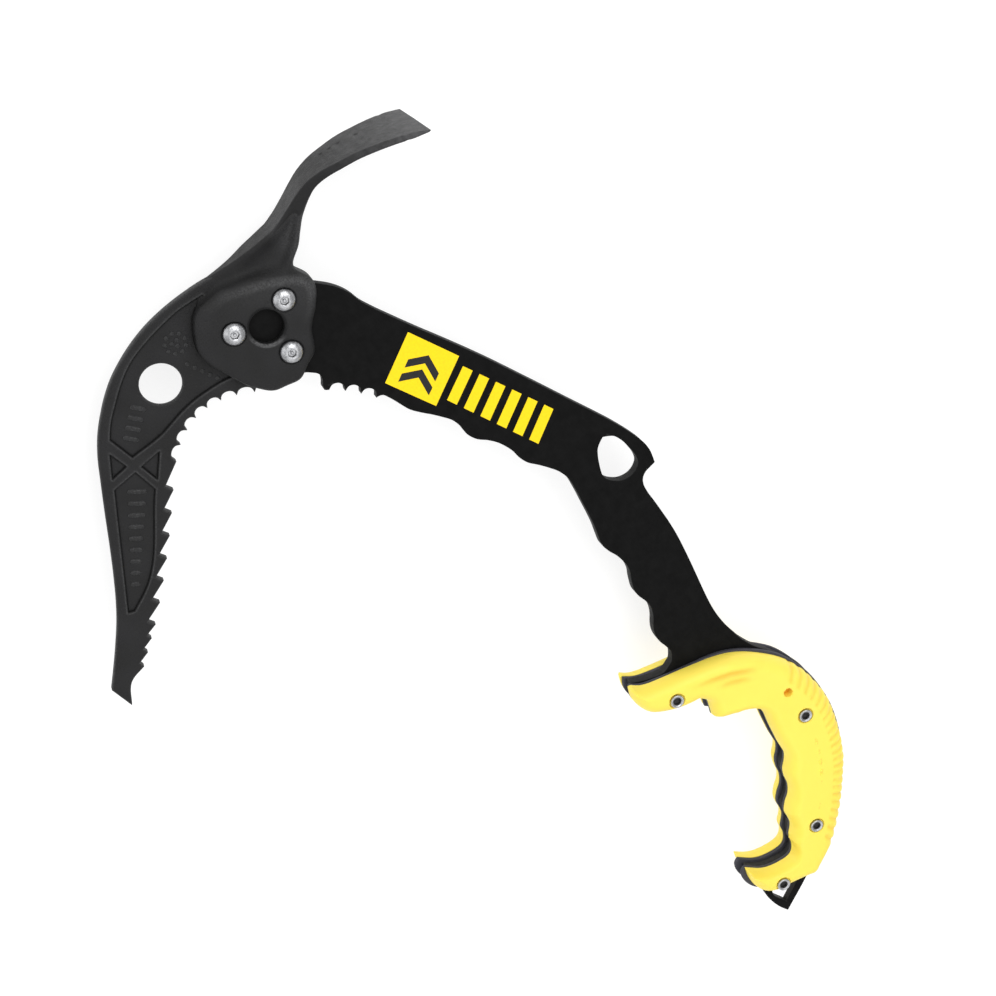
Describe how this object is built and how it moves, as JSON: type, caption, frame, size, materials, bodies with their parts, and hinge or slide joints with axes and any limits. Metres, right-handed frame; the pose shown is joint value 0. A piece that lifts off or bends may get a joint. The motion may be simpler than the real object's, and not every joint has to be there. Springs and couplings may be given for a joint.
{
  "type": "ice axe",
  "caption": "Short technical ice axe: forged toothed pick and adze on a slotted head, bolted to a bent plate shaft with a two-part C-shaped hand grip and a pointed spike loop.",
  "frame": {"origin": "under the middle of the bounding box, level with the lower corner of the adze", "axes": "the axe lies on its side: +X from the head to the spike, +Y from the shaft towards the adze, +Z square to the flat face of the shaft plate"},
  "size_m": [0.5194, 0.2778, 0.0536],
  "materials": {
    "forged_steel": "satin black paint on a forged surface",
    "plate_black": "matt black coated plate",
    "bolt_steel": "bright zinc-plated steel",
    "grip_yellow": "fine-grained moulded plastic",
    "liner_black": "matt moulded rubber",
    "spike_steel": "black coated steel"
  },
  "bodies": {
    "root": {"head_forging": "forged_steel", "shaft_plate": "plate_black", "head_bolt_1": "bolt_steel", "head_bolt_2": "bolt_steel", "head_bolt_3": "bolt_steel", "head_nut_1": "bolt_steel", "head_nut_2": "bolt_steel", "head_nut_3": "bolt_steel", "grip_scale_front": "grip_yellow", "grip_scale_back": "grip_yellow", "grip_liner_front": "liner_black", "grip_liner_back": "liner_black", "grip_bolt_1": "bolt_steel", "grip_bolt_2": "bolt_steel", "grip_bolt_3": "bolt_steel", "grip_bolt_4": "bolt_steel", "grip_nut_1": "bolt_steel", "grip_nut_2": "bolt_steel", "grip_nut_3": "bolt_steel", "grip_nut_4": "bolt_steel", "spike": "spike_steel"}
  },
  "joints": []
}
